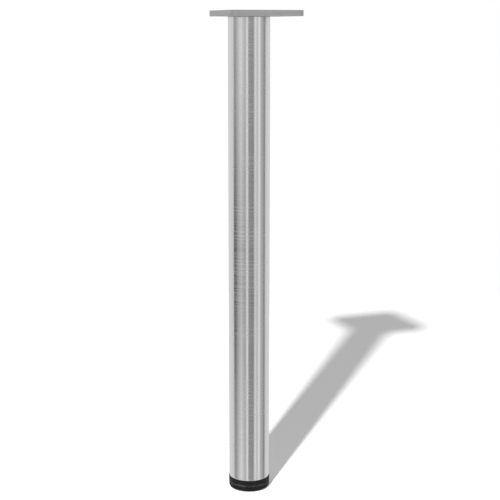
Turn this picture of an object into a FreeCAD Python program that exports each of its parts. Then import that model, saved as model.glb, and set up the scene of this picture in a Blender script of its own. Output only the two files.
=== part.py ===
import FreeCAD, Part
import math
import os

# A round steel table leg: a die-cast plate screws up under the table, the tube slides over the
# plate's hub and is locked by a grub screw, and a black foot screws in and out of the tube's plug.
# All lengths are millimetres. The origin is on the tube's axis where the foot meets the floor,
# +Z points up, and +X and +Y point from the leg towards the middle of the table.

# Overall
LEG_HEIGHT = 710.0          # floor to the table's underside, with the foot screwed right in

# Leg tube
TUBE_DIAMETER = 60.0
TUBE_WALL = 1.2
TUBE_EDGE = 0.4             # bevel left by deburring the sawn ends
LOCK_HOLE_DIAMETER = 6.6    # the grub screw reaches into this hole in the tube

# Mounting plate
PLATE_LENGTH = 110.0        # along X
PLATE_WIDTH = 110.0         # along Y
PLATE_DEPTH = 8.5
PLATE_CORNER = 12.0
PLATE_LOWER_EDGE = 0.8
PLATE_UPPER_EDGE = 0.5
PLATE_OFFSET = 16.7         # from the tube's axis to the plate's middle, along X and along Y
PLATE_SKIN = 3.2            # closed underside between the ribs
RIM_WALL = 3.2
RIB_WALL = 2.2
OUTER_RING_GAP = 21.0       # clear distance from the hub's wall to the ring rib round it
HUB_CROSS_COUNT = 4         # ribs that meet over the hub's middle

# Wood screw holes in the plate
SCREW_HOLE_DIAMETER = 5.5
SCREW_HEAD_DIAMETER = 11.0
SCREW_EDGE_DISTANCE = 11.0  # hole centre to the plate's edge
SCREW_BOSS_WALL = 4.2

# Hub under the plate, inside the tube
HUB_DEPTH = 32.0
HUB_WALL = 3.4
HUB_LAND_HEIGHT = 0.6       # the raised lands that the tube slides on
HUB_LAND_WIDTH = 7.0
HUB_LAND_COUNT = 6
HUB_CLEARANCE = 0.1         # between the lands and the tube's inside
HUB_LEAD_IN = 1.5

# Grub screw
GRUB_DIAMETER = 6.0
GRUB_LENGTH = 8.0
GRUB_DROP = 15.0            # below the plate's underside
GRUB_SUNK = 0.4             # its face below the tube's outer surface
GRUB_KEY = 3.0              # across the flats of its hex socket
GRUB_KEY_DEPTH = 3.5
GRUB_CHAMFER = 0.6
GRUB_BOSS_DEPTH = 5.0       # extra metal inside the hub for its thread
GRUB_BOSS_WALL = 3.0
GRUB_ANGLE = 45.0           # from +X towards +Y, so that it faces the middle of the table

# Adjusting foot
FOOT_HEIGHT = 9.3
FOOT_INSET = 0.2            # the foot's side inside the flange's
FOOT_LOWER_EDGE = 4.5
FOOT_UPPER_EDGE = 0.6
FOOT_WALL = 3.2
FOOT_FLOOR = 3.4
FOOT_RIB_WALL = 1.8
FOOT_RIB_COUNT = 8
FOOT_RECESS_RADIUS = 16.0   # shallow hollow in the middle of the sole
FOOT_RECESS_DEPTH = 0.8
FOOT_SEAM = 0.4             # gap between the foot and the plug when screwed right in

# Foot stud, its head moulded into the foot
STUD_DIAMETER = 10.0
STUD_TOP = 44.0             # above the floor with the foot screwed right in
STUD_TIP = 1.2
STUD_HEAD_KEY = 16.0
STUD_HEAD_THICKNESS = 3.6
STUD_HEAD_COVER = 2.2       # plastic under the head
STUD_BOSS_WALL = 2.4
FIT_CLEARANCE = 0.05        # all round a part that is pressed or moulded in

# Captive nut
NUT_KEY = 16.0
NUT_HEIGHT = 8.4
NUT_RUNNING_CLEARANCE = 0.05
NUT_POCKET_CLEARANCE = 0.05

# End plug
PLUG_FLANGE = 7.8
PLUG_OVERHANG = 0.6         # the flange stands proud of the tube all round
PLUG_FLANGE_EDGE = 0.6
PLUG_FLOOR = 3.0
PLUG_SPIGOT = 28.0
PLUG_SPIGOT_WALL = 2.4
PLUG_CRUSH_RIB = 0.7
PLUG_CRUSH_RIB_WIDTH = 2.0
PLUG_CRUSH_RIB_COUNT = 8
PLUG_WEB_WALL = 1.8
PLUG_WEB_COUNT = 6
PLUG_BOSS_WALL = 3.0
PLUG_BORE_CLEARANCE = 0.6   # round the stud, above the nut
PLUG_NUT_DEPTH = 3.0        # from the flange's face to the nut
PLUG_CLEARANCE = 0.05       # between the crush ribs and the tube's inside
PLUG_LEAD_IN = 1.2

# Heights and radii that follow from the sizes above
UP = FreeCAD.Vector(0, 0, 1)
TUBE_RADIUS = TUBE_DIAMETER / 2
TUBE_INNER_RADIUS = TUBE_RADIUS - TUBE_WALL
FLANGE_RADIUS = TUBE_RADIUS + PLUG_OVERHANG
PLATE_BOTTOM = LEG_HEIGHT - PLATE_DEPTH
PLUG_BOTTOM = FOOT_HEIGHT + FOOT_SEAM
TUBE_BOTTOM = PLUG_BOTTOM + PLUG_FLANGE
NUT_BOTTOM = PLUG_BOTTOM + PLUG_NUT_DEPTH
NUT_TOP = NUT_BOTTOM + NUT_HEIGHT
STUD_RADIUS = STUD_DIAMETER / 2
HUB_RADIUS = TUBE_INNER_RADIUS - HUB_CLEARANCE - HUB_LAND_HEIGHT
HUB_INNER_RADIUS = HUB_RADIUS - HUB_WALL
GRUB_HEIGHT = PLATE_BOTTOM - GRUB_DROP


def revolved(outline, through_axis=True):
    """Turns an outline of (radius, height) points, and arcs given as three points, about the axis."""
    edges = []
    for piece in outline:
        points = [FreeCAD.Vector(radius, 0, height) for radius, height in piece]
        if len(points) == 3:
            edges.append(Part.Arc(*points).toShape())
        else:
            edges.append(Part.makeLine(*points))
    return Part.Face(Part.Wire(edges)).revolve(FreeCAD.Vector(0, 0, 0), UP, 360)


def rounding(centre_radius, centre_height, size):
    """The three points of a quarter arc that rounds the lower outer edge of a turned piece."""
    return [
        (
            centre_radius + size * math.cos(math.radians(angle)),
            centre_height + size * math.sin(math.radians(angle)),
        )
        for angle in (-90, -45, 0)
    ]


def cylinder(radius, bottom, top, x=0.0, y=0.0):
    return Part.makeCylinder(radius, top - bottom, FreeCAD.Vector(x, y, bottom), UP)


def ring(outer_radius, inner_radius, bottom, top):
    return cylinder(outer_radius, bottom, top).cut(cylinder(inner_radius, bottom, top))


def hexagon(across_flats, bottom, top):
    """An upright hexagonal bar on the axis, with two flats facing +X and -X."""
    corner = across_flats / 2 / math.cos(math.radians(30))
    points = [
        FreeCAD.Vector(
            corner * math.cos(math.radians(30 + 60 * step)),
            corner * math.sin(math.radians(30 + 60 * step)),
            bottom,
        )
        for step in range(7)
    ]
    return Part.Face(Part.makePolygon(points)).extrude(UP * (top - bottom))


def wall(start, end, thickness, bottom, top):
    """An upright wall of one thickness whose middle runs between two (x, y) points."""
    length = math.hypot(end[0] - start[0], end[1] - start[1])
    angle = math.degrees(math.atan2(end[1] - start[1], end[0] - start[0]))
    box = Part.makeBox(length, thickness, top - bottom, FreeCAD.Vector(0, -thickness / 2, bottom))
    box.rotate(FreeCAD.Vector(0, 0, 0), UP, angle)
    box.translate(FreeCAD.Vector(start[0], start[1], 0))
    return box


def spokes(count, inner_radius, outer_radius, thickness, bottom, top, first_angle=0.0):
    """Radial walls, evenly spaced about the axis."""
    found = []
    for step in range(count):
        angle = math.radians(first_angle + 360 * step / count)
        start = (inner_radius * math.cos(angle), inner_radius * math.sin(angle))
        end = (outer_radius * math.cos(angle), outer_radius * math.sin(angle))
        found.append(wall(start, end, thickness, bottom, top))
    return found


def upright_edges(shape):
    """The straight edges that run along Z."""
    found = []
    for edge in shape.Edges:
        first, last = edge.Vertexes[0].Point, edge.Vertexes[-1].Point
        if math.hypot(last.x - first.x, last.y - first.y) < 1e-6 < abs(last.z - first.z):
            found.append(edge)
    return found


def edges_at(shape, height):
    """The edges that lie in the level plane at a height."""
    return [
        edge
        for edge in shape.Edges
        if abs(edge.BoundBox.ZMin - height) < 1e-4 and abs(edge.BoundBox.ZMax - height) < 1e-4
    ]


def rounded_block(low_corner, high_corner, bottom, top, corner):
    """An upright block between two (x, y) corners, with its upright edges rounded."""
    block = Part.makeBox(
        high_corner[0] - low_corner[0],
        high_corner[1] - low_corner[1],
        top - bottom,
        FreeCAD.Vector(low_corner[0], low_corner[1], bottom),
    )
    return block.makeFillet(corner, upright_edges(block))


def plate_corners(inset=0.0):
    """The plate's lowest and highest (x, y) corners, moved in by a distance."""
    low = (
        PLATE_OFFSET - PLATE_LENGTH / 2 + inset,
        PLATE_OFFSET - PLATE_WIDTH / 2 + inset,
    )
    high = (
        PLATE_OFFSET + PLATE_LENGTH / 2 - inset,
        PLATE_OFFSET + PLATE_WIDTH / 2 - inset,
    )
    return low, high


def screw_places():
    """The (x, y) centres of the plate's four wood screw holes."""
    low, high = plate_corners(SCREW_EDGE_DISTANCE)
    return [(x, y) for x in (low[0], high[0]) for y in (low[1], high[1])]


def plate_ribs(bottom, top):
    """Ribs that fan out from the hub, the ring rib that joins them, and the screw bosses."""
    low, high = plate_corners(RIM_WALL / 2)
    far_x, far_y = screw_places()[-1]
    ends = [(low[0], 0), (high[0], 0), (0, low[1]), (0, high[1])]
    ends += [(high[0], far_y / 2), (far_x / 2, high[1])] + screw_places()
    hub_middle = HUB_RADIUS - HUB_WALL / 2
    ribs = [ring(HUB_RADIUS, HUB_INNER_RADIUS, bottom, top)]
    ribs += spokes(HUB_CROSS_COUNT, 0, hub_middle, RIB_WALL, bottom, top, GRUB_ANGLE)
    for x, y in ends:
        start = hub_middle / math.hypot(x, y)
        ribs.append(wall((x * start, y * start), (x, y), RIB_WALL, bottom, top))
    ring_radius = HUB_RADIUS + OUTER_RING_GAP
    ribs.append(ring(ring_radius + RIB_WALL, ring_radius, bottom, top))
    boss_radius = SCREW_HOLE_DIAMETER / 2 + SCREW_BOSS_WALL
    for x, y in screw_places():
        corner = (low[0] if x < PLATE_OFFSET else high[0], low[1] if y < PLATE_OFFSET else high[1])
        ribs.append(cylinder(boss_radius, bottom, top, x, y))
        ribs.append(wall((x, y), corner, 2 * boss_radius, bottom, top))
    return ribs


def plate_pockets():
    """The pockets cast into the plate's upper side, between its ribs."""
    floor = PLATE_BOTTOM + PLATE_SKIN
    low, high = plate_corners(RIM_WALL)
    space = rounded_block(low, high, floor, LEG_HEIGHT, PLATE_CORNER - RIM_WALL)
    return space.cut(plate_ribs(floor, LEG_HEIGHT))


def screw_hole(x, y):
    """One countersunk hole, open at the plate's underside where the screw's head goes."""
    depth = (SCREW_HEAD_DIAMETER - SCREW_HOLE_DIAMETER) / 2
    head = Part.makeCone(
        SCREW_HEAD_DIAMETER / 2,
        SCREW_HOLE_DIAMETER / 2,
        depth,
        FreeCAD.Vector(x, y, PLATE_BOTTOM),
        UP,
    )
    return cylinder(SCREW_HOLE_DIAMETER / 2, PLATE_BOTTOM, LEG_HEIGHT, x, y).fuse(head)


def hub():
    """The hollow hub under the plate, with lands that the tube slides on and the grub screw's boss."""
    bottom = PLATE_BOTTOM - HUB_DEPTH
    land_radius = HUB_RADIUS + HUB_LAND_HEIGHT
    body = ring(HUB_RADIUS, HUB_INNER_RADIUS, bottom, PLATE_BOTTOM)
    lands = spokes(
        HUB_LAND_COUNT,
        HUB_INNER_RADIUS + HUB_WALL / 2,
        land_radius + HUB_LAND_HEIGHT,
        HUB_LAND_WIDTH,
        bottom,
        PLATE_BOTTOM,
        GRUB_ANGLE,
    )
    outline = [
        [(HUB_INNER_RADIUS, bottom), (land_radius - HUB_LEAD_IN, bottom)],
        [(land_radius - HUB_LEAD_IN, bottom), (land_radius, bottom + HUB_LEAD_IN)],
        [(land_radius, bottom + HUB_LEAD_IN), (land_radius, PLATE_BOTTOM)],
        [(land_radius, PLATE_BOTTOM), (HUB_INNER_RADIUS, PLATE_BOTTOM)],
        [(HUB_INNER_RADIUS, PLATE_BOTTOM), (HUB_INNER_RADIUS, bottom)],
    ]
    body = body.fuse(lands).common(revolved(outline))
    boss_width = GRUB_DIAMETER + 2 * GRUB_BOSS_WALL
    boss = spokes(
        1,
        HUB_INNER_RADIUS - GRUB_BOSS_DEPTH,
        HUB_INNER_RADIUS + HUB_WALL / 2,
        boss_width,
        GRUB_HEIGHT - boss_width / 2,
        PLATE_BOTTOM,
        GRUB_ANGLE,
    )
    return body.fuse(boss)


def across(radius, inner_end, outer_end):
    """A round bar along the grub screw's axis, between two distances from the tube's axis."""
    angle = math.radians(GRUB_ANGLE)
    outward = FreeCAD.Vector(math.cos(angle), math.sin(angle), 0)
    start = outward * inner_end + UP * GRUB_HEIGHT
    return Part.makeCylinder(radius, outer_end - inner_end, start, outward)


def mounting_plate():
    low, high = plate_corners()
    plate = rounded_block(low, high, PLATE_BOTTOM, LEG_HEIGHT, PLATE_CORNER)
    plate = plate.makeChamfer(PLATE_LOWER_EDGE, edges_at(plate, PLATE_BOTTOM))
    plate = plate.makeChamfer(PLATE_UPPER_EDGE, edges_at(plate, LEG_HEIGHT))
    plate = plate.cut(plate_pockets())
    plate = plate.fuse(hub())
    plate = plate.cut([screw_hole(x, y) for x, y in screw_places()])
    thread_radius = GRUB_DIAMETER / 2 + FIT_CLEARANCE
    plate = plate.cut(across(thread_radius, HUB_INNER_RADIUS - GRUB_BOSS_DEPTH, TUBE_RADIUS))
    return plate.removeSplitter()


def leg_tube():
    edge = TUBE_EDGE
    outer = TUBE_RADIUS
    outline = [
        [(TUBE_INNER_RADIUS, TUBE_BOTTOM), (outer - edge, TUBE_BOTTOM)],
        [(outer - edge, TUBE_BOTTOM), (outer, TUBE_BOTTOM + edge)],
        [(outer, TUBE_BOTTOM + edge), (outer, PLATE_BOTTOM - edge)],
        [(outer, PLATE_BOTTOM - edge), (outer - edge, PLATE_BOTTOM)],
        [(outer - edge, PLATE_BOTTOM), (TUBE_INNER_RADIUS, PLATE_BOTTOM)],
        [(TUBE_INNER_RADIUS, PLATE_BOTTOM), (TUBE_INNER_RADIUS, TUBE_BOTTOM)],
    ]
    hole = across(LOCK_HOLE_DIAMETER / 2, HUB_INNER_RADIUS, TUBE_RADIUS + TUBE_WALL)
    return revolved(outline).cut(hole)


def grub_screw():
    """Drawn upright with its socket on top, then turned to point out through the tube's wall."""
    radius = GRUB_DIAMETER / 2
    outline = [
        [(0, 0), (radius - GRUB_CHAMFER, 0)],
        [(radius - GRUB_CHAMFER, 0), (radius, GRUB_CHAMFER)],
        [(radius, GRUB_CHAMFER), (radius, GRUB_LENGTH - GRUB_CHAMFER)],
        [(radius, GRUB_LENGTH - GRUB_CHAMFER), (radius - GRUB_CHAMFER, GRUB_LENGTH)],
        [(radius - GRUB_CHAMFER, GRUB_LENGTH), (0, GRUB_LENGTH)],
        [(0, GRUB_LENGTH), (0, 0)],
    ]
    screw = revolved(outline).cut(hexagon(GRUB_KEY, GRUB_LENGTH - GRUB_KEY_DEPTH, GRUB_LENGTH))
    screw.rotate(FreeCAD.Vector(0, 0, 0), FreeCAD.Vector(0, 1, 0), 90)
    screw.translate(FreeCAD.Vector(TUBE_RADIUS - GRUB_SUNK - GRUB_LENGTH, 0, GRUB_HEIGHT))
    screw.rotate(FreeCAD.Vector(0, 0, 0), UP, GRUB_ANGLE)
    return screw


def end_plug():
    """The moulded plug in the tube's lower end, which holds the nut for the foot's stud."""
    top = TUBE_BOTTOM + PLUG_SPIGOT
    edge = PLUG_FLANGE_EDGE
    rib_radius = TUBE_INNER_RADIUS - PLUG_CLEARANCE
    spigot_radius = rib_radius - PLUG_CRUSH_RIB
    inside_radius = spigot_radius - PLUG_SPIGOT_WALL
    boss_radius = NUT_KEY / 2 / math.cos(math.radians(30)) + NUT_POCKET_CLEARANCE + PLUG_BOSS_WALL
    floor = PLUG_BOTTOM + PLUG_FLOOR
    outline = [
        [(0, PLUG_BOTTOM), (FLANGE_RADIUS - edge, PLUG_BOTTOM)],
        [(FLANGE_RADIUS - edge, PLUG_BOTTOM), (FLANGE_RADIUS, PLUG_BOTTOM + edge)],
        [(FLANGE_RADIUS, PLUG_BOTTOM + edge), (FLANGE_RADIUS, TUBE_BOTTOM)],
        [(FLANGE_RADIUS, TUBE_BOTTOM), (rib_radius, TUBE_BOTTOM)],
        [(rib_radius, TUBE_BOTTOM), (rib_radius, top - PLUG_LEAD_IN)],
        [(rib_radius, top - PLUG_LEAD_IN), (rib_radius - PLUG_LEAD_IN, top)],
        [(rib_radius - PLUG_LEAD_IN, top), (0, top)],
        [(0, top), (0, PLUG_BOTTOM)],
    ]
    envelope = revolved(outline)
    core = cylinder(spigot_radius, TUBE_BOTTOM, top)
    crush_ribs = spokes(
        PLUG_CRUSH_RIB_COUNT,
        inside_radius,
        TUBE_RADIUS,
        PLUG_CRUSH_RIB_WIDTH,
        TUBE_BOTTOM,
        top,
    )
    flange = cylinder(FLANGE_RADIUS, PLUG_BOTTOM, TUBE_BOTTOM)
    plug = flange.fuse([core] + crush_ribs).common(envelope)
    webs = spokes(PLUG_WEB_COUNT, 0, inside_radius + PLUG_SPIGOT_WALL / 2, PLUG_WEB_WALL, floor, top)
    pockets = ring(inside_radius, boss_radius, floor, top).cut(webs)
    plug = plug.cut(pockets)
    bore = cylinder(STUD_RADIUS + PLUG_BORE_CLEARANCE, PLUG_BOTTOM, top)
    nut_pocket = hexagon(NUT_KEY + 2 * NUT_POCKET_CLEARANCE, PLUG_BOTTOM, NUT_TOP)
    return plug.cut([bore, nut_pocket]).removeSplitter()


def captive_nut():
    corner = NUT_KEY / 2 / math.cos(math.radians(30))
    flat = NUT_KEY / 2
    bore_radius = STUD_RADIUS + NUT_RUNNING_CLEARANCE
    drop = (corner - flat) * math.tan(math.radians(30))
    outline = [
        [(bore_radius, NUT_BOTTOM), (flat, NUT_BOTTOM)],
        [(flat, NUT_BOTTOM), (corner, NUT_BOTTOM + drop)],
        [(corner, NUT_BOTTOM + drop), (corner, NUT_TOP)],
        [(corner, NUT_TOP), (bore_radius, NUT_TOP)],
        [(bore_radius, NUT_TOP), (bore_radius, NUT_BOTTOM)],
    ]
    return hexagon(NUT_KEY, NUT_BOTTOM, NUT_TOP).common(revolved(outline))


def foot_stud():
    head_top = STUD_HEAD_COVER + STUD_HEAD_THICKNESS
    outline = [
        [(0, STUD_HEAD_COVER), (STUD_RADIUS, STUD_HEAD_COVER)],
        [(STUD_RADIUS, STUD_HEAD_COVER), (STUD_RADIUS, STUD_TOP - STUD_TIP)],
        [(STUD_RADIUS, STUD_TOP - STUD_TIP), (STUD_RADIUS - STUD_TIP, STUD_TOP)],
        [(STUD_RADIUS - STUD_TIP, STUD_TOP), (0, STUD_TOP)],
        [(0, STUD_TOP), (0, STUD_HEAD_COVER)],
    ]
    return revolved(outline).fuse(hexagon(STUD_HEAD_KEY, STUD_HEAD_COVER, head_top)).removeSplitter()


def foot_cap():
    """The black foot that is turned by hand, ribbed on top and with a shallow hollow in its sole."""
    radius = FLANGE_RADIUS - FOOT_INSET
    lower = FOOT_LOWER_EDGE
    upper = FOOT_UPPER_EDGE
    outline = [
        [(0, FOOT_RECESS_DEPTH), (FOOT_RECESS_RADIUS, FOOT_RECESS_DEPTH)],
        [(FOOT_RECESS_RADIUS, FOOT_RECESS_DEPTH), (FOOT_RECESS_RADIUS + FOOT_RECESS_DEPTH, 0)],
        [(FOOT_RECESS_RADIUS + FOOT_RECESS_DEPTH, 0), (radius - lower, 0)],
        rounding(radius - lower, lower, lower),
        [(radius, lower), (radius, FOOT_HEIGHT - upper)],
        [(radius, FOOT_HEIGHT - upper), (radius - upper, FOOT_HEIGHT)],
        [(radius - upper, FOOT_HEIGHT), (0, FOOT_HEIGHT)],
        [(0, FOOT_HEIGHT), (0, FOOT_RECESS_DEPTH)],
    ]
    head_key = STUD_HEAD_KEY + 2 * FIT_CLEARANCE
    head_top = STUD_HEAD_COVER + STUD_HEAD_THICKNESS
    boss_radius = head_key / 2 / math.cos(math.radians(30)) + STUD_BOSS_WALL
    pocket_radius = radius - FOOT_WALL
    ribs = spokes(FOOT_RIB_COUNT, 0, radius - FOOT_WALL / 2, FOOT_RIB_WALL, FOOT_FLOOR, FOOT_HEIGHT)
    pockets = ring(pocket_radius, boss_radius, FOOT_FLOOR, FOOT_HEIGHT).cut(ribs)
    head_space = hexagon(head_key, STUD_HEAD_COVER, head_top)
    shank_space = cylinder(STUD_RADIUS + FIT_CLEARANCE, STUD_HEAD_COVER, FOOT_HEIGHT)
    return revolved(outline).cut([pockets, head_space, shank_space]).removeSplitter()


PARTS = {
    "mounting_plate": mounting_plate,
    "leg_tube": leg_tube,
    "grub_screw": grub_screw,
    "end_plug": end_plug,
    "captive_nut": captive_nut,
    "foot_stud": foot_stud,
    "foot_cap": foot_cap,
}

os.makedirs("parts", exist_ok=True)
for node, build in PARTS.items():
    shape = build()
    if not shape.isValid() or len(shape.Solids) != 1:
        raise ValueError(f"{node}: valid {shape.isValid()}, solids {len(shape.Solids)}")
    shape.Solids[0].exportStep(f"parts/{node}.step")
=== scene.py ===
"""Looks of a round table leg in brushed nickel, with a square plate and a black adjusting foot."""

from __future__ import annotations

import logging
import math
from dataclasses import dataclass
from enum import Enum
from functools import cached_property

import bmesh
import bpy
from mathutils import Matrix, Vector


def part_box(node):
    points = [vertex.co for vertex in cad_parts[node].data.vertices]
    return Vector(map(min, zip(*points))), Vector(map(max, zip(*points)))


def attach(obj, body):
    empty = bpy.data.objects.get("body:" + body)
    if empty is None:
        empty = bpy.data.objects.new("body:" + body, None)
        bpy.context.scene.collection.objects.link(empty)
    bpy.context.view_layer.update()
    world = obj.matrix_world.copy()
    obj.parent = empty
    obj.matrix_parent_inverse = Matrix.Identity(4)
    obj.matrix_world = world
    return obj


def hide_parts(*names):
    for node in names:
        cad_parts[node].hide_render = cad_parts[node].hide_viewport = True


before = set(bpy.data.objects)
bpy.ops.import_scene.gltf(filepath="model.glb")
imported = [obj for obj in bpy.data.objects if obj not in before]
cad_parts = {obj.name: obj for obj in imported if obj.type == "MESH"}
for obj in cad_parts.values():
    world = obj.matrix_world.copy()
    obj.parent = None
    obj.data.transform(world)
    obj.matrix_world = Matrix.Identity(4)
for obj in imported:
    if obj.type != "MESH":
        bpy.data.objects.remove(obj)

LOG = logging.getLogger("table_leg")

MILLIMETRE = 0.001
SAME_PLACE = 0.001 * MILLIMETRE
AXIS = Vector((0.0, 0.0, 1.0))
ORIGIN = Vector((0.0, 0.0, 0.0))
FULL_TURN = 360.0
QUARTER_TURN = math.radians(90.0)

Colour = tuple[float, float, float, float]
Socket = bpy.types.NodeSocket
Tree = bpy.types.NodeTree


def grey(level: float) -> Colour:
    """Gives the colour of a grey."""
    return (level, level, level, 1.0)


# Shader node helpers


@dataclass(frozen=True)
class Grain:
    """How fine a noise is.

    Attributes:
        scale: Cells to a unit of the coordinates.
        detail: Octaves.
        roughness: How much the finer octaves count.
    """

    scale: float
    detail: float
    roughness: float = 0.5


@dataclass(frozen=True)
class Span:
    """A range that a value is read over, and what its ends become. Beyond them it is held.

    Attributes:
        low: The start of the range.
        high: Its end.
        to_low: What low becomes.
        to_high: What high becomes.
    """

    low: float
    high: float
    to_low: float = 0.0
    to_high: float = 1.0


class Nodes:
    """Adds and links nodes in one node tree, with short calls for the kinds used here."""

    def __init__(self, tree: Tree) -> None:
        """Keeps the tree that the nodes go into.

        Args:
            tree: A material's, world's, lamp's or group's node tree.
        """
        self.tree = tree

    def add(self, kind: str, **values: object) -> bpy.types.Node:
        """Adds a node and sets its plain properties.

        Args:
            kind: The node's type name.
            **values: Property names and their values.

        Returns:
            The new node.
        """
        node = self.tree.nodes.new(kind)
        for name, value in values.items():
            setattr(node, name, value)
        return node

    def link(self, source: Socket, target: Socket) -> None:
        """Joins an output socket to an input socket."""
        self.tree.links.new(source, target)

    def feed(self, given: Socket | float | Colour, target: Socket) -> None:
        """Gives an input socket a link or a plain value.

        Args:
            given: An output socket, a number or a colour.
            target: The input socket.
        """
        if isinstance(given, Socket):
            self.link(given, target)
        else:
            target.default_value = given

    def math(
        self,
        operation: str,
        first: Socket | float,
        second: Socket | float | None = None,
        clamp: bool = False,
    ) -> Socket:
        """Adds a Math node fed by sockets or numbers.

        Args:
            operation: The Math node's operation.
            first: A socket or a number.
            second: A socket or a number, or None where the operation takes only one.
            clamp: Whether the result is held between 0 and 1.

        Returns:
            The result's socket.
        """
        node = self.add("ShaderNodeMath", operation=operation, use_clamp=clamp)
        self.feed(first, node.inputs[0])
        if second is not None:
            self.feed(second, node.inputs[1])
        return node.outputs[0]

    def distance(self, value: Socket, middle: float) -> Socket:
        """Gives how far a value is from a number, above it or below it."""
        return self.math("ABSOLUTE", self.math("SUBTRACT", value, middle))

    def noise(self, place: Socket, grain: Grain) -> Socket:
        """Adds a 3-D noise.

        Args:
            place: The socket with the coordinates.
            grain: How fine it is.

        Returns:
            The noise's value.
        """
        node = self.add("ShaderNodeTexNoise")
        node.inputs["Scale"].default_value = grain.scale
        node.inputs["Detail"].default_value = grain.detail
        node.inputs["Roughness"].default_value = grain.roughness
        self.link(place, node.inputs["Vector"])
        return node.outputs["Fac"]

    def spread(self, value: Socket, span: Span) -> Socket:
        """Maps one range of a value to another.

        Args:
            value: The socket to map.
            span: The two ranges.

        Returns:
            The mapped value.
        """
        node = self.add("ShaderNodeMapRange")
        ends = (span.low, span.high, span.to_low, span.to_high)
        for name, number in zip(("From Min", "From Max", "To Min", "To Max"), ends):
            node.inputs[name].default_value = number
        self.link(value, node.inputs["Value"])
        return node.outputs["Result"]

    def blend(self, factor: Socket, first: Socket | float, second: Socket | float) -> Socket:
        """Mixes two numbers or sockets.

        Args:
            factor: The socket that goes from 0, all first, to 1, all second.
            first: A socket or a number.
            second: A socket or a number.

        Returns:
            The mixed value.
        """
        node = self.add("ShaderNodeMix", data_type="FLOAT")
        self.link(factor, node.inputs[0])
        self.feed(first, node.inputs[2])
        self.feed(second, node.inputs[3])
        return node.outputs[0]


# Shared node groups


class Effect(Nodes):
    """A shared node group being built, which takes coordinates and puts out values."""

    def __init__(self, name: str, numbers: tuple[str, ...], results: tuple[str, ...]) -> None:
        """Starts the group with its sockets.

        Args:
            name: The group's name.
            numbers: The numbers that it takes, each 1 unless a material says otherwise.
            results: The values that it puts out.
        """
        super().__init__(bpy.data.node_groups.new(name, "ShaderNodeTree"))
        interface = self.tree.interface
        interface.new_socket(name="Vector", in_out="INPUT", socket_type="NodeSocketVector")
        for number in numbers:
            taken = interface.new_socket(
                name=number, in_out="INPUT", socket_type="NodeSocketFloat"
            )
            taken.default_value = 1.0
        for result in results:
            interface.new_socket(name=result, in_out="OUTPUT", socket_type="NodeSocketFloat")
        self.given = self.add("NodeGroupInput").outputs
        self.result = self.add("NodeGroupOutput").inputs


@dataclass(frozen=True)
class Brushing:
    """Fine grooves, and the deeper lines among them, which come in groups.

    The noises' scales are for coordinates that a material has stretched along its grooves.
    """

    fine: Grain = Grain(1.0, 3.0, 0.7)
    coarse: Grain = Grain(0.23, 2.0, 0.6)
    fine_share: float = 0.6
    streak_span: Span = Span(0.35, 0.65)
    line: Grain = Grain(0.19, 1.0)
    line_span: Span = Span(0.42, 0.62)
    line_group: Grain = Grain(0.012, 1.0)
    line_group_span: Span = Span(0.35, 0.65, 0.4, 1.0)

    def build(self) -> Tree:
        """Builds the group.

        Returns:
            A node group that puts out Height, the same grooves as the mask Streaks, and Lines.
        """
        effect = Effect("brushing", (), ("Height", "Streaks", "Lines"))
        place = effect.given["Vector"]
        fine = effect.math("MULTIPLY", effect.noise(place, self.fine), self.fine_share)
        coarse = effect.math("MULTIPLY", effect.noise(place, self.coarse), 1.0 - self.fine_share)
        both = effect.math("ADD", fine, coarse)
        effect.link(both, effect.result["Height"])
        effect.link(effect.spread(both, self.streak_span), effect.result["Streaks"])
        line = effect.spread(effect.noise(place, self.line), self.line_span)
        grouped = effect.spread(effect.noise(place, self.line_group), self.line_group_span)
        effect.link(effect.math("MULTIPLY", line, grouped), effect.result["Lines"])
        return effect.tree


@dataclass(frozen=True)
class HandlingMarks:
    """Faint cloudy patches where a finish is a little duller."""

    cloud: Grain = Grain(14.0, 4.0, 0.55)
    patch_span: Span = Span(0.42, 0.68)

    def build(self) -> Tree:
        """Builds the group.

        Returns:
            A node group that takes Size, higher for smaller patches, and puts out Patches.
        """
        effect = Effect("handling_marks", ("Size",), ("Patches",))
        scaled = effect.add("ShaderNodeVectorMath", operation="SCALE")
        effect.link(effect.given["Vector"], scaled.inputs[0])
        effect.link(effect.given["Size"], scaled.inputs["Scale"])
        cloud = effect.noise(scaled.outputs[0], self.cloud)
        effect.link(effect.spread(cloud, self.patch_span), effect.result["Patches"])
        return effect.tree


@dataclass(frozen=True)
class EdgeWear:
    """Bright metal or paler plastic where a convex edge is worn by rubbing."""

    ridge_span: Span = Span(0.52, 0.60)
    chips: Grain = Grain(220.0, 3.0, 0.6)
    chip_span: Span = Span(0.35, 0.7, 0.2, 1.0)

    def build(self) -> Tree:
        """Builds the group.

        Returns:
            A node group that takes Amount and puts out Wear.
        """
        effect = Effect("edge_wear", ("Amount",), ("Wear",))
        geometry = effect.add("ShaderNodeNewGeometry")
        ridge = effect.spread(geometry.outputs["Pointiness"], self.ridge_span)
        broken = effect.spread(effect.noise(effect.given["Vector"], self.chips), self.chip_span)
        worn = effect.math("MULTIPLY", ridge, broken)
        wear = effect.math("MULTIPLY", worn, effect.given["Amount"])
        effect.link(wear, effect.result["Wear"])
        return effect.tree


@dataclass(frozen=True)
class SharedGroups:
    """The node groups that more than one finish uses."""

    brushing: Tree
    handling: Tree
    wear: Tree

    @classmethod
    def make(cls) -> SharedGroups:
        """Builds each group once and keeps them together."""
        return cls(Brushing().build(), HandlingMarks().build(), EdgeWear().build())


# Finishes


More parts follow.
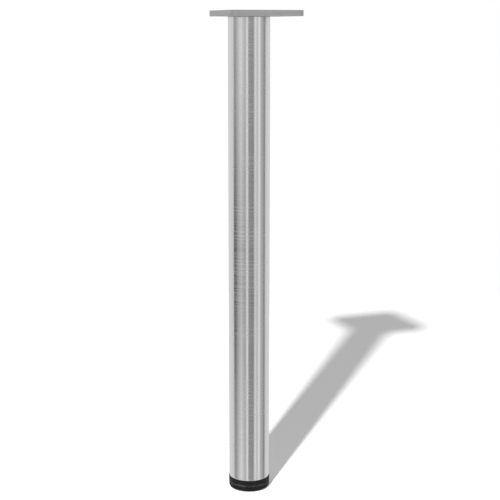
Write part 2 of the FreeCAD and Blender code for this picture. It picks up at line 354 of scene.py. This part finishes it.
class Surface(Nodes):
    """A material being built on its Principled shader."""

    def __init__(self, name: str) -> None:
        """Starts the material.

        Args:
            name: The material's name.
        """
        self.material = bpy.data.materials.new(name)
        self.material.use_nodes = True
        super().__init__(self.material.node_tree)
        self.shader = self.tree.nodes["Principled BSDF"]

    @cached_property
    def place(self) -> Socket:
        """The Object coordinates."""
        return self.add("ShaderNodeTexCoord").outputs["Object"]

    def dress(self, name: str, given: Socket | float | Colour) -> None:
        """Gives the shader's input of that name a link or a plain value."""
        self.feed(given, self.shader.inputs[name])

    def effect(self, group: Tree, place: Socket | None = None, **numbers: float) -> bpy.types.Node:
        """Puts a shared group into the material.

        Args:
            group: The group.
            place: The coordinates that it takes, or None for the Object coordinates.
            **numbers: The names and values of the numbers that it takes.

        Returns:
            The group's node.
        """
        node = self.add("ShaderNodeGroup", node_tree=group)
        self.link(self.place if place is None else place, node.inputs["Vector"])
        for name, value in numbers.items():
            node.inputs[name].default_value = value
        return node

    def tone(self, factor: Socket, dark: Socket | Colour, light: Colour) -> Socket:
        """Mixes two colours.

        Args:
            factor: The socket that goes from 0, all dark, to 1, all light.
            dark: A colour or a colour's socket.
            light: A colour.

        Returns:
            The mixed colour.
        """
        node = self.add("ShaderNodeMix", data_type="RGBA")
        self.link(factor, node.inputs["Factor"])
        self.feed(dark, node.inputs["A"])
        self.feed(light, node.inputs["B"])
        return node.outputs["Result"]

    def relief(self, height: Socket, strength: float, depth: float) -> None:
        """Bends the shader's normal by a height.

        Args:
            height: The height's socket.
            strength: How much of the bend counts.
            depth: What a height of 1 measures in metres.
        """
        bump = self.add("ShaderNodeBump")
        bump.inputs["Strength"].default_value = strength
        bump.inputs["Distance"].default_value = depth
        self.link(height, bump.inputs["Height"])
        self.dress("Normal", bump.outputs["Normal"])


class GrooveDirection(Enum):
    """Which way the brushing on a metal face runs."""

    AROUND = ((12.0, 12.0, 2300.0), "Z")
    ALONG_X = ((26.0, 1900.0, 1900.0), "Y")

    def __init__(self, fineness: tuple[float, float, float], axis: str) -> None:
        """Keeps a direction's measures.

        Args:
            fineness: Grooves to a metre along X, Y and Z, low where the grooves run.
            axis: The axis that the highlight's tangent goes round.
        """
        self.fineness = fineness
        self.axis = axis


@dataclass(frozen=True)
class BrushedNickel:
    """Nickel plating over metal that was brushed in one direction."""

    name: str
    groups: SharedGroups
    direction: GrooveDirection = GrooveDirection.AROUND
    light: Colour = grey(0.697)
    dark: Colour = grey(0.673)
    roughness: float = 0.17
    anisotropy: float = 0.60
    across_grooves: float = 0.25
    line_roughness: float = 0.12
    patch_roughness: float = 0.05
    wear: float = 0.5
    groove_strength: float = 0.2
    groove_depth: float = 0.004 * MILLIMETRE

    def material(self) -> bpy.types.Material:
        """Builds the material.

        Returns:
            A metal whose grooves run round the leg, or along X on the plate's flat faces.
        """
        surface = Surface(self.name)
        grooves = surface.effect(self.groups.brushing, self._stretched(surface)).outputs
        patches = surface.effect(self.groups.handling).outputs["Patches"]
        wear = surface.effect(self.groups.wear, Amount=self.wear).outputs["Wear"]
        bright = surface.math("ADD", grooves["Streaks"], wear, clamp=True)
        surface.dress("Base Color", surface.tone(bright, self.dark, self.light))
        lines = surface.math("MULTIPLY", grooves["Lines"], self.line_roughness)
        dull = surface.math("MULTIPLY", patches, self.patch_roughness)
        rough = surface.math("ADD", surface.math("ADD", lines, self.roughness), dull)
        surface.dress("Roughness", rough)
        surface.dress("Metallic", 1.0)
        surface.relief(grooves["Height"], self.groove_strength, self.groove_depth)
        axis = self.direction.axis
        tangent = surface.add("ShaderNodeTangent", direction_type="RADIAL", axis=axis)
        surface.dress("Tangent", tangent.outputs["Tangent"])
        surface.dress("Anisotropic", self.anisotropy)
        surface.dress("Anisotropic Rotation", self.across_grooves)
        return surface.material

    def _stretched(self, surface: Surface) -> Socket:
        """Stretches the Object coordinates along the grooves.

        Args:
            surface: The material being built.

        Returns:
            The stretched coordinates.
        """
        mapping = surface.add("ShaderNodeMapping")
        mapping.inputs["Scale"].default_value = self.direction.fineness
        surface.link(surface.place, mapping.inputs["Vector"])
        return mapping.outputs["Vector"]


@dataclass(frozen=True)
class MouldedBlack:
    """Fine-grained black moulded plastic, with a painted highlight on the rim by the seam between
    plug and foot.
    """

    name: str
    groups: SharedGroups
    light: Colour = grey(0.011)
    dark: Colour = grey(0.006)
    # Painted highlight: the paler grey that the rim by the seam is mixed towards.
    seam_highlight_grey: Colour = grey(0.095)
    roughness: float = 0.5
    patch_roughness: float = 0.1
    patch_size: float = 2.5
    gloss: float = 0.13
    grain: Grain = Grain(2600.0, 2.0, 0.6)
    grain_share: float = 0.5
    grain_strength: float = 0.4
    grain_depth: float = 0.02 * MILLIMETRE
    # Where the painted highlight lies: its height, its reach, its full-strength core and the noise
    # that breaks it up.
    rim_height: float = 9.5 * MILLIMETRE
    rim_reach: float = 1.4 * MILLIMETRE
    rim_core: float = 0.3
    rim_breaks: Grain = Grain(70.0, 3.0, 0.6)
    rim_break_span: Span = Span(0.38, 0.6, 0.25, 1.0)

    def material(self) -> bpy.types.Material:
        """Builds the material.

        Returns:
            A matt black plastic with moulding grain, a painted highlight on the rim by the seam and
            faint handling marks.
        """
        surface = Surface(self.name)
        patches = surface.effect(self.groups.handling, Size=self.patch_size).outputs["Patches"]
        wear = surface.effect(self.groups.wear).outputs["Wear"]
        grain = surface.noise(surface.place, self.grain)
        tone = surface.math("ADD", surface.math("MULTIPLY", grain, self.grain_share), patches)
        tone = surface.math("ADD", tone, wear, clamp=True)
        black = surface.tone(tone, self.dark, self.light)
        # Painted highlight: the rim by the seam is mixed towards a paler grey.
        surface.dress("Base Color", surface.tone(self._seam_highlight_mask(surface), black, self.seam_highlight_grey))
        duller = self.roughness + self.patch_roughness
        rough = surface.spread(patches, Span(0.0, 1.0, self.roughness, duller))
        surface.dress("Roughness", rough)
        surface.dress("Specular IOR Level", self.gloss)
        surface.relief(grain, self.grain_strength, self.grain_depth)
        return surface.material

    def _seam_highlight_mask(self, surface: Surface) -> Socket:
        """Masks the rim beside the seam, where a highlight is painted as a paler grey.

        Args:
            surface: The material being built.

        Returns:
            1 on the rim, broken up round it, and 0 away from it.
        """
        parts = surface.add("ShaderNodeSeparateXYZ")
        surface.link(surface.place, parts.inputs["Vector"])
        away = surface.distance(parts.outputs["Z"], self.rim_height)
        core = self.rim_core * self.rim_reach
        near = surface.spread(away, Span(core, self.rim_reach, 1.0, 0.0))
        broken = surface.spread(surface.noise(surface.place, self.rim_breaks), self.rim_break_span)
        return surface.math("MULTIPLY", near, broken)


@dataclass(frozen=True)
class CastNickel:
    """Nickel plating over a raw die-cast surface, as in the plate's pockets."""

    name: str
    groups: SharedGroups
    light: Colour = grey(0.50)
    dark: Colour = grey(0.36)
    roughness: float = 0.46
    patch_roughness: float = 0.1
    patch_size: float = 3.0
    grain: Grain = Grain(1500.0, 3.0, 0.6)
    grain_share: float = 0.5
    grain_strength: float = 0.5
    grain_depth: float = 0.04 * MILLIMETRE
    flow: Grain = Grain(90.0, 2.0)
    flow_share: float = 0.5

    def material(self) -> bpy.types.Material:
        """Builds the material.

        Returns:
            A dull metal with the fine orange-peel skin of a casting.
        """
        surface = Surface(self.name)
        patches = surface.effect(self.groups.handling, Size=self.patch_size).outputs["Patches"]
        wear = surface.effect(self.groups.wear).outputs["Wear"]
        grain = surface.noise(surface.place, self.grain)
        flow = surface.noise(surface.place, self.flow)
        tone = surface.math(
            "ADD",
            surface.math("MULTIPLY", grain, self.grain_share),
            surface.math("MULTIPLY", flow, self.flow_share),
        )
        tone = surface.math("ADD", tone, wear, clamp=True)
        surface.dress("Base Color", surface.tone(tone, self.dark, self.light))
        duller = self.roughness + self.patch_roughness
        rough = surface.spread(patches, Span(0.0, 1.0, self.roughness, duller))
        surface.dress("Roughness", rough)
        surface.dress("Metallic", 1.0)
        surface.relief(grain, self.grain_strength, self.grain_depth)
        return surface.material


@dataclass(frozen=True)
class ZincPlate:
    """Bright zinc plating on small steel parts, duller between its clouds."""

    name: str
    groups: SharedGroups
    light: Colour = (0.64, 0.645, 0.65, 1.0)
    dark: Colour = (0.48, 0.485, 0.48, 1.0)
    roughness: float = 0.3
    dull_roughness: float = 0.42
    patch_size: float = 6.0

    def material(self) -> bpy.types.Material:
        """Builds the material.

        Returns:
            A semi-bright metal with cloudy plating.
        """
        surface = Surface(self.name)
        patches = surface.effect(self.groups.handling, Size=self.patch_size).outputs["Patches"]
        wear = surface.effect(self.groups.wear).outputs["Wear"]
        tone = surface.math("ADD", patches, wear, clamp=True)
        surface.dress("Base Color", surface.tone(tone, self.dark, self.light))
        rough = surface.spread(patches, Span(0.0, 1.0, self.dull_roughness, self.roughness))
        surface.dress("Roughness", rough)
        surface.dress("Metallic", 1.0)
        return surface.material


# Mesh helpers


def shade(made: bmesh.types.BMesh, smooth_angle: float) -> None:
    """Shades faces smooth and marks the edges that bend more than an angle sharp.

    Args:
        made: The bmesh.
        smooth_angle: The limit in degrees.
    """
    limit = math.radians(smooth_angle)
    for face in made.faces:
        face.smooth = True
    for edge in made.edges:
        if len(edge.link_faces) == 2:
            edge.smooth = edge.calc_face_angle(0.0) < limit


def piece_from(made: bmesh.types.BMesh, name: str, smooth_angle: float = 30.0) -> bpy.types.Object:
    """Turns a bmesh into a linked object.

    Args:
        made: The finished bmesh, which is freed.
        name: The piece's name.
        smooth_angle: Edges sharper than this many degrees stay sharp.

    Returns:
        The new object, at the origin.
    """
    shade(made, smooth_angle)
    mesh = bpy.data.meshes.new(name)
    made.to_mesh(mesh)
    made.free()
    piece = bpy.data.objects.new(name, mesh)
    bpy.context.scene.collection.objects.link(piece)
    return piece


def turned(outline: list[tuple[float, float]], steps: int) -> bmesh.types.BMesh:
    """Spins an outline of (radius, height) points about the leg's axis.

    Args:
        outline: The points in order, which start and end on the axis or close on themselves.
        steps: Segments in the full turn.

    Returns:
        A closed bmesh with its normals outwards.
    """
    made = bmesh.new()
    points = [made.verts.new((radius, 0.0, height)) for radius, height in outline]
    edges = [made.edges.new(pair) for pair in zip(points, points[1:])]
    if outline[0][0] > 0.0 and outline[-1][0] > 0.0:
        edges.append(made.edges.new((points[-1], points[0])))
    bmesh.ops.spin(
        made,
        geom=points + edges,
        cent=ORIGIN,
        axis=AXIS,
        angle=2.0 * math.pi,
        steps=steps,
        use_merge=True,
    )
    bmesh.ops.remove_doubles(made, verts=made.verts, dist=SAME_PLACE)
    bmesh.ops.recalc_face_normals(made, faces=made.faces)
    return made


def smoothed_copy(node: str, name: str, smooth_angle: float = 32.0) -> bpy.types.Object:
    """Copies a CAD node's mesh, merges its loose triangles and shades its curves smooth.

    Args:
        node: The CAD node.
        name: The new piece's name.
        smooth_angle: Edges sharper than this many degrees stay sharp.

    Returns:
        The new piece, which stands for the node.
    """
    made = bmesh.new()
    made.from_mesh(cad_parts[node].data)
    bmesh.ops.remove_doubles(made, verts=made.verts, dist=SAME_PLACE)
    piece = piece_from(made, name, smooth_angle)
    weighted = piece.modifiers.new("even_faces", "WEIGHTED_NORMAL")
    weighted.keep_sharp = True
    weighted.weight = 100
    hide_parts(node)
    return piece


def rings_at(made: bmesh.types.BMesh, radius: float, height: float) -> list[bmesh.types.BMEdge]:
    """Finds the edges of one ring round the leg's axis.

    Args:
        made: The bmesh to search.
        radius: The ring's radius.
        height: The ring's height.

    Returns:
        The ring's edges.
    """

    def lies_on(vertex: bmesh.types.BMVert) -> bool:
        """Says whether a vertex is on the ring."""
        out = math.hypot(vertex.co.x, vertex.co.y)
        return abs(out - radius) < SAME_PLACE and abs(vertex.co.z - height) < SAME_PLACE

    return [edge for edge in made.edges if all(lies_on(vertex) for vertex in edge.verts)]


def round_over(
    made: bmesh.types.BMesh, edges: list[bmesh.types.BMEdge], size: float, segments: int
) -> None:
    """Rounds edges with the bevel operator.

    Args:
        made: The bmesh they belong to.
        edges: The edges to round.
        size: How far the rounding reaches from each edge.
        segments: Faces across it.
    """
    bmesh.ops.bevel(
        made,
        geom=edges,
        offset=size,
        offset_type="OFFSET",
        segments=segments,
        profile=0.5,
        affect="EDGES",
        material=-1,
        clamp_overlap=True,
    )


def cut_away(piece: bpy.types.Object, cutter: bpy.types.Object, smooth_angle: float) -> None:
    """Cuts one object's shape out of another and removes the cutter.

    Args:
        piece: The object that keeps its name and gets the cut mesh.
        cutter: The closed object that is cut out and deleted.
        smooth_angle: Edges sharper than this many degrees stay sharp.
    """
    cut = piece.modifiers.new("cut", "BOOLEAN")
    cut.operation = "DIFFERENCE"
    cut.solver = "EXACT"
    cut.object = cutter
    bpy.context.view_layer.update()
    evaluated = piece.evaluated_get(bpy.context.evaluated_depsgraph_get())
    piece.data = bpy.data.meshes.new_from_object(evaluated)
    piece.modifiers.clear()
    bpy.data.objects.remove(cutter)
    made = bmesh.new()
    made.from_mesh(piece.data)
    shade(made, smooth_angle)
    made.to_mesh(piece.data)
    made.free()


# Sub-assemblies


@dataclass
class LegTube:
    """The brushed steel tube, with its deburred ends and the hole for the grub screw."""

    finish: BrushedNickel
    wall: float = 1.2 * MILLIMETRE
    edge: float = 0.4 * MILLIMETRE
    edge_segments: int = 3
    ring_inset: float = 1.5 * MILLIMETRE
    steps: int = 240
    smooth_angle: float = 30.0
    hole_diameter: float = 6.6 * MILLIMETRE
    hole_height: float = 686.5 * MILLIMETRE
    hole_angle: float = 45.0
    hole_edge: float = 0.25 * MILLIMETRE
    hole_margin: float = 9.0 * MILLIMETRE
    hole_steps: int = 64
    drill_reach: float = 6.0 * MILLIMETRE

    def build(self) -> list[bpy.types.Object]:
        """Spins the tube, drills it and dresses it.

        Returns:
            The tube's piece.
        """
        low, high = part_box("leg_tube")
        radius = high.x
        inside = radius - self.wall
        outline = [
            (inside, low.z),
            (radius, low.z),
            (radius, low.z + self.ring_inset),
            (radius, self.hole_height - self.hole_margin),
            (radius, self.hole_height + self.hole_margin),
            (radius, high.z - self.ring_inset),
            (radius, high.z),
            (inside, high.z),
            (inside, self.hole_height + self.hole_margin),
            (inside, self.hole_height - self.hole_margin),
        ]
        made = turned(outline, self.steps)
        for height in (low.z, high.z):
            round_over(made, rings_at(made, radius, height), self.edge, self.edge_segments)
        piece = piece_from(made, "brushed_tube", self.smooth_angle)
        cut_away(piece, self._drill(radius), self.smooth_angle)
        piece.data.materials.append(self.finish.material())
        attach(piece, "leg")
        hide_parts("leg_tube")
        return [piece]

    def _drill(self, radius: float) -> bpy.types.Object:
        """Makes the drill's shape: the hole, with a small countersink that breaks its outer edge.

        Args:
            radius: The tube's outer radius.

        Returns:
            The cutter.
        """
        hole = self.hole_diameter / 2
        centre = Vector((radius, 0.0, self.hole_height))
        made = bmesh.new()
        bmesh.ops.create_cone(
            made,
            cap_ends=True,
            segments=self.hole_steps,
            radius1=hole,
            radius2=hole,
            depth=2 * self.drill_reach,
            matrix=Matrix.Translation(centre) @ Matrix.Rotation(QUARTER_TURN, 4, "Y"),
        )
        bmesh.ops.bisect_plane(
            made,
            geom=made.verts[:] + made.edges[:] + made.faces[:],
            plane_co=(radius - self.hole_edge, 0.0, 0.0),
            plane_no=(1.0, 0.0, 0.0),
        )
        outer = [vertex for vertex in made.verts if vertex.co.x > radius + self.drill_reach / 2]
        flare = 1.0 + (self.drill_reach + self.hole_edge) / hole
        about_centre = Matrix.Translation(-centre)
        bmesh.ops.scale(made, vec=(1.0, flare, flare), space=about_centre, verts=outer)
        turn = Matrix.Rotation(math.radians(self.hole_angle), 4, "Z")
        bmesh.ops.transform(made, matrix=turn, verts=made.verts)
        return piece_from(made, "lock_hole_drill")


class PlateArea(Enum):
    """The three kinds of surface on the plate, in the order of its material slots."""

    BRUSHED = 0
    GROUND = 1
    CAST = 2


@dataclass
class MountingPlate:
    """The die-cast plate: brushed outside, ground flat on top, and raw cast in its pockets."""

    brushed: BrushedNickel
    ground: BrushedNickel
    cast: CastNickel
    corner: float = 12.0 * MILLIMETRE
    depth: float = 8.5 * MILLIMETRE
    edge_reach: float = 0.9 * MILLIMETRE
    flat_reach: float = 0.02 * MILLIMETRE
    facing_up: float = 0.9

    def build(self) -> list[bpy.types.Object]:
        """Builds the plate.

        Returns:
            The plate's piece.
        """
        piece = smoothed_copy("mounting_plate", "cast_plate")
        for finish in (self.brushed, self.ground, self.cast):
            piece.data.materials.append(finish.material())
        low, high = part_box("mounting_plate")
        for face in piece.data.polygons:
            face.material_index = self._area(face.center, face.normal, low, high).value
        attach(piece, "leg")
        return [piece]

    def _area(self, centre: Vector, normal: Vector, low: Vector, high: Vector) -> PlateArea:
        """Says which kind of surface a face belongs to.

        Args:
            centre: The face's middle.
            normal: Its normal.
            low: The plate's lowest corner.
            high: The plate's highest corner.

        Returns:
            The area.
        """
        if centre.z > high.z - self.flat_reach and normal.z > self.facing_up:
            return PlateArea.GROUND
        middle = (low + high) / 2
        half = (high - low) / 2
        past_corner = math.hypot(
            max(abs(centre.x - middle.x) - half.x + self.corner, 0.0),
            max(abs(centre.y - middle.y) - half.y + self.corner, 0.0),
        )
        outside = past_corner > self.corner - self.edge_reach
        underside = high.z - self.depth
        beneath = underside - self.flat_reach < centre.z < underside + self.edge_reach
        return PlateArea.BRUSHED if outside or beneath else PlateArea.CAST


@dataclass
class Foot:
    """The black plug and foot, and the steel between them."""

    plug_black: MouldedBlack
    foot_black: MouldedBlack
    zinc: ZincPlate
    stud_radius: float = 5.0 * MILLIMETRE
    stud_tip: float = 1.2 * MILLIMETRE
    stud_steps: int = 48
    smooth_angle: float = 28.0
    head_key: float = 16.0 * MILLIMETRE
    head_thickness: float = 3.6 * MILLIMETRE
    head_sides: int = 6
    head_turn: float = 30.0
    thread_pitch: float = 1.5 * MILLIMETRE
    thread_depth: float = 0.8 * MILLIMETRE
    thread_bury: float = 0.15 * MILLIMETRE
    thread_ease: float = 0.02 * MILLIMETRE
    thread_crest: float = 1 / 16
    thread_base: float = 7 / 16
    thread_steps: int = 40

    def build(self) -> list[bpy.types.Object]:
        """Builds the plug, the foot and their steel parts.

        Returns:
            The pieces.
        """
        plug = smoothed_copy("end_plug", "tube_plug")
        foot = smoothed_copy("foot_cap", "turning_foot")
        zinc = self.zinc.material()
        stud = self._stud()
        stud.data.materials.append(zinc)
        for piece, finish, body, slot in (
            (plug, self.plug_black, "leg", "black_plastic"),
            (foot, self.foot_black, "foot", "foot_plastic"),
        ):
            piece.data.materials.append(finish.material())
            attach(piece, body)
        for node in ("grub_screw", "captive_nut"):
            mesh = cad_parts[node].data
            mesh.materials.clear()
            mesh.materials.append(zinc)
        return [plug, foot, stud]

    def _stud(self) -> bpy.types.Object:
        """Builds the foot's stud with its rolled thread and hexagonal head.

        Returns:
            The stud's piece, which stands for its node.
        """
        low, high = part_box("foot_stud")
        head_middle = low.z + self.head_thickness / 2
        root = self.stud_radius - self.thread_depth
        outline = [
            (0.0, head_middle),
            (root, head_middle),
            (root, high.z - self.stud_tip + self.thread_depth),
            (self.stud_radius - self.stud_tip, high.z),
            (0.0, high.z),
        ]
        made = turned(outline, self.stud_steps)
        turn = Matrix.Rotation(math.radians(self.head_turn), 4, "Z")
        bmesh.ops.create_cone(
            made,
            cap_ends=True,
            segments=self.head_sides,
            radius1=self.head_key / math.sqrt(3.0),
            radius2=self.head_key / math.sqrt(3.0),
            depth=self.head_thickness,
            matrix=Matrix.Translation((0.0, 0.0, head_middle)) @ turn,
        )
        bottom = low.z + self.head_thickness + self.thread_pitch
        top = high.z - self.stud_tip - self.thread_pitch / 2
        self._thread(made, bottom, top)
        piece = piece_from(made, "threaded_stud", self.smooth_angle)
        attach(piece, "foot")
        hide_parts("foot_stud")
        return piece

    def _thread(self, made: bmesh.types.BMesh, bottom: float, top: float) -> None:
        """Winds the thread's ridge round the stud with the spin operator.

        Args:
            made: The stud's bmesh, which the ridge joins.
            bottom: The height of the thread's first turn.
            top: The height of its last turn.
        """
        turns = math.floor((top - bottom) / self.thread_pitch)
        crest = self.thread_pitch * self.thread_crest
        base = self.thread_pitch * self.thread_base
        buried = self.stud_radius - self.thread_depth - self.thread_bury
        outer = self.stud_radius - self.thread_ease
        ridge = [
            made.verts.new((radius, 0.0, bottom + rise))
            for radius, rise in ((buried, -base), (outer, -crest), (outer, crest), (buried, base))
        ]
        profile = made.faces.new(ridge)
        bmesh.ops.spin(
            made,
            geom=[profile, *profile.edges, *ridge],
            cent=ORIGIN,
            axis=AXIS,
            dvec=AXIS * (self.thread_pitch / self.thread_steps),
            angle=2.0 * math.pi * turns,
            steps=self.thread_steps * turns,
        )
        bmesh.ops.recalc_face_normals(made, faces=made.faces)


# Studio


@dataclass(frozen=True)
class Panel:
    """An upright sheet of the studio's surround that reflections see, or a low screen before it.

    Attributes:
        name: Where it stands.
        start: The bearing of its left edge in degrees from the camera, positive to its right.
        end: The bearing of its right edge.
        level: A sheet's brightness at its left edge, or how dark a screen is there. A screen
            darker than 1 is quite dark over more of its height.
        end_level: The same at its right edge.
    """

    name: str
    start: float
    end: float
    level: float
    end_level: float


@dataclass
class Studio:
    """The white floor, the key lamp, the surround that metal reflects and the camera.

    Heights in the surround are the upright part of a reflection's direction. Between one panel
    and the next, the level runs evenly from the one's edge to the other's.
    """

    camera_azimuth: float = -20.5
    camera_distance: float = 1.7
    camera_height: float = 0.689
    camera_turn: float = 0.045
    lens: float = 84.85
    sensor_width: float = 36.0
    look_height: float = 0.3647
    key_bearing: float = -16.6
    key_distance: float = 1.79
    key_height: float = 1.97
    key_radius: float = 0.045
    key_power: float = 46.0
    floor_radius: float = 1.6
    floor_steps: int = 96
    floor_tone: float = 0.95
    floor_glow: float = 0.21
    fill: float = 0.25
    panels: tuple[Panel, ...] = (
        Panel("back_left_shade", -180.0, -167.0, 0.40, 0.46),
        Panel("back_left_sheet", -155.0, -95.0, 0.88, 0.86),
        Panel("left_gap", -91.0, -84.0, 0.42, 0.42),
        Panel("left_sheet", -80.0, -44.0, 0.46, 1.04),
        Panel("front_left_sheet", -40.0, -33.0, 0.94, 0.80),
        Panel("front_left_fall", -28.0, -17.0, 0.70, 0.60),
        Panel("left_strip", -12.0, -8.0, 1.16, 1.16),
        Panel("camera_shade", -4.0, 26.0, 0.37, 0.36),
        Panel("front_right_sheet", 32.0, 39.0, 1.06, 1.02),
        Panel("right_stand", 43.0, 49.0, 0.64, 0.66),
        Panel("right_strip", 55.0, 62.0, 1.10, 1.00),
        Panel("right_fall", 68.0, 84.0, 0.58, 0.50),
        Panel("right_gap", 90.0, 100.0, 0.32, 0.32),
        Panel("back_right_sheet", 104.5, 155.0, 0.86, 0.88),
        Panel("back_right_shade", 167.0, 180.0, 0.46, 0.40),
    )
    panel_middle: float = -0.19
    panel_reach: float = 0.24
    panel_fade: float = 0.16
    beyond_level: float = 0.95
    screens: tuple[Panel, ...] = (
        Panel("back_left_opening", -180.0, -98.0, 0.0, 0.0),
        Panel("gap_screen", -95.5, -77.0, 3.0, 3.0),
        Panel("left_screen", -73.0, -22.0, 1.0, 1.0),
        Panel("strip_screen", -14.0, -6.0, 0.15, 0.0),
        Panel("front_screen", 12.0, 27.0, 0.60, 0.75),
        Panel("right_screen", 36.0, 50.0, 0.35, 0.35),
        Panel("back_right_opening", 56.0, 180.0, 0.0, 0.0),
    )
    screen_middle: float = -0.205
    screen_reach: float = 0.09
    ceiling_level: float = 0.82
    ceiling_span: Span = Span(0.80, 0.97)

    def build(self) -> None:
        """Builds everything that isn't part of the object."""
        self._world()
        self._floor()
        self._lamp()
        self._camera()

    def _bearing(self, degrees: float) -> Vector:
        """Gives the level direction at a bearing from the camera, positive to its right."""
        angle = math.radians(self.camera_azimuth + degrees)
        return Vector((math.sin(angle), -math.cos(angle), 0.0))

    def _world(self) -> None:
        """Makes the world white to the camera, a soft fill, and the surround in reflections."""
        world = bpy.data.worlds.new("studio")
        bpy.context.scene.world = world
        world.use_nodes = True
        nodes = Nodes(world.node_tree)
        background = world.node_tree.nodes["Background"]
        background.inputs["Color"].default_value = grey(1.0)
        path = nodes.add("ShaderNodeLightPath").outputs
        level = nodes.blend(path["Is Glossy Ray"], self.fill, self._surround(nodes))
        white = nodes.math("MAXIMUM", path["Is Camera Ray"], path["Is Transmission Ray"])
        nodes.link(nodes.blend(white, level, 1.0), background.inputs["Strength"])

    def _surround(self, nodes: Nodes) -> Socket:
        """Lays the panels and screens round the leg as levels over the compass.

        Args:
            nodes: The world's nodes.

        Returns:
            The level in the direction that a reflection looks.
        """
        ahead = nodes.add("ShaderNodeVectorRotate", rotation_type="Z_AXIS")
        ahead.inputs["Angle"].default_value = -math.radians(self.camera_azimuth)
        nodes.link(nodes.add("ShaderNodeTexCoord").outputs["Generated"], ahead.inputs["Vector"])
        parts = nodes.add("ShaderNodeSeparateXYZ")
        nodes.link(ahead.outputs["Vector"], parts.inputs["Vector"])
        height = parts.outputs["Z"]
        forward = nodes.math("MULTIPLY", parts.outputs["Y"], -1.0)
        bearing = nodes.math("ARCTAN2", parts.outputs["X"], forward)
        place = nodes.spread(bearing, Span(-math.pi, math.pi))
        off_screens = nodes.distance(height, self.screen_middle)
        screened = nodes.spread(off_screens, Span(0.0, self.screen_reach, 1.0, 0.0))
        dark = nodes.math(
            "MULTIPLY", screened, self._levels(nodes, place, self.screens), clamp=True
        )
        light = nodes.math("SUBTRACT", 1.0, dark)
        level = nodes.math("MULTIPLY", self._levels(nodes, place, self.panels), light)
        off_panels = nodes.distance(height, self.panel_middle)
        panel_end = self.panel_reach + self.panel_fade
        fade = Span(self.panel_reach, panel_end, 0.0, self.beyond_level)
        level = nodes.math("MAXIMUM", level, nodes.spread(off_panels, fade))
        overhead = nodes.spread(nodes.math("ABSOLUTE", height), self.ceiling_span)
        return nodes.blend(overhead, level, self.ceiling_level)

    def _levels(self, nodes: Nodes, place: Socket, panels: tuple[Panel, ...]) -> Socket:
        """Lays a row of panels out over the compass.

        Args:
            nodes: The world's nodes.
            place: The bearing as a share of the full circle.
            panels: The panels from the left round to the right.

        Returns:
            The level at that bearing.
        """
        ramp = nodes.add("ShaderNodeValToRGB")
        nodes.link(place, ramp.inputs["Fac"])
        stops = ramp.color_ramp.elements
        stops.remove(stops[-1])
        starts = [(panel.start, panel.level) for panel in panels]
        ends = [(panel.end, panel.end_level) for panel in panels]
        for number, (degrees, level) in enumerate(sorted(starts + ends)):
            position = degrees / FULL_TURN + 0.5
            stop = stops.new(position) if number else stops[0]
            stop.position = position
            stop.color = grey(level)
        return ramp.outputs["Color"]

    def _floor(self) -> None:
        """Makes the white floor, which keeps the leg's shadow.

        It follows the foot, so where the foot is screwed out the leg is seen raised above it.
        """
        made = bmesh.new()
        bmesh.ops.create_circle(
            made, cap_ends=True, segments=self.floor_steps, radius=self.floor_radius
        )
        floor = piece_from(made, "floor")
        surface = Surface("floor_white")
        surface.dress("Base Color", grey(self.floor_tone))
        surface.dress("Roughness", 1.0)
        surface.dress("Specular IOR Level", 0.0)
        surface.dress("Emission Color", grey(1.0))
        path = surface.add("ShaderNodeLightPath").outputs
        seen = surface.math("MAXIMUM", path["Is Camera Ray"], path["Is Glossy Ray"])
        seen = surface.math("MAXIMUM", seen, path["Is Transmission Ray"])
        surface.dress("Emission Strength", surface.math("MULTIPLY", seen, self.floor_glow))
        floor.data.materials.append(surface.material)
        floor.visible_glossy = False
        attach(floor, "foot")

    def _lamp(self) -> None:
        """Hangs the key lamp in front of the leg, to the camera's left.

        It is near, so the shadow widens away from it. Its light doesn't fall off, so the floor
        stays white.
        """
        lamp = bpy.data.lights.new("key", "POINT")
        lamp.shadow_soft_size = self.key_radius
        lamp.energy = self.key_power
        lamp.use_nodes = True
        nodes = Nodes(lamp.node_tree)
        falloff = nodes.add("ShaderNodeLightFalloff")
        falloff.inputs["Strength"].default_value = 1.0
        nodes.link(falloff.outputs["Constant"], lamp.node_tree.nodes["Emission"].inputs["Strength"])
        key = bpy.data.objects.new("key", lamp)
        bpy.context.scene.collection.objects.link(key)
        key.location = self._bearing(self.key_bearing) * self.key_distance + AXIS * self.key_height
        key.visible_glossy = False

    def _camera(self) -> None:
        """Places the camera at the photograph's side of the leg and makes it the scene's."""
        data = bpy.data.cameras.new("camera")
        data.lens = self.lens
        data.sensor_width = self.sensor_width
        camera = bpy.data.objects.new("camera", data)
        bpy.context.scene.collection.objects.link(camera)
        place = self._bearing(0.0) * self.camera_distance + AXIS * self.camera_height
        aside = self.camera_distance * math.tan(math.radians(self.camera_turn))
        target = self._bearing(90.0) * aside + AXIS * self.look_height
        camera.location = place
        camera.rotation_mode = "QUATERNION"
        camera.rotation_quaternion = (place - target).to_track_quat("Z", "Y")
        bpy.context.scene.camera = camera


def main() -> None:
    """Builds the leg's pieces in order, then the studio round it."""
    bpy.context.scene.view_settings.view_transform = "Standard"
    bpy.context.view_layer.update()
    groups = SharedGroups.make()
    assemblies = (
        MountingPlate(
            BrushedNickel(
                "plate_brushed_nickel",
                groups,
                light=grey(0.49),
                dark=grey(0.41),
                roughness=0.5,
                anisotropy=0.0,
            ),
            BrushedNickel(
                "plate_ground_nickel",
                groups,
                direction=GrooveDirection.ALONG_X,
                light=grey(0.60),
                dark=grey(0.50),
                roughness=0.33,
                anisotropy=0.9,
            ),
            CastNickel("plate_cast_nickel", groups),
        ),
        LegTube(BrushedNickel("tube_brushed_nickel", groups)),
        Foot(
            MouldedBlack("plug_black", groups),
            MouldedBlack("foot_black", groups, grain=Grain(2200.0, 2.0, 0.6)),
            ZincPlate("zinc_plate", groups),
        ),
    )
    for assembly in assemblies:
        for piece in assembly.build():
            LOG.info("%s: %d faces", piece.name, len(piece.data.polygons))
    Studio().build()


if __name__ == "__main__":
    logging.basicConfig(level=logging.INFO, format="%(name)s %(message)s")
    main()
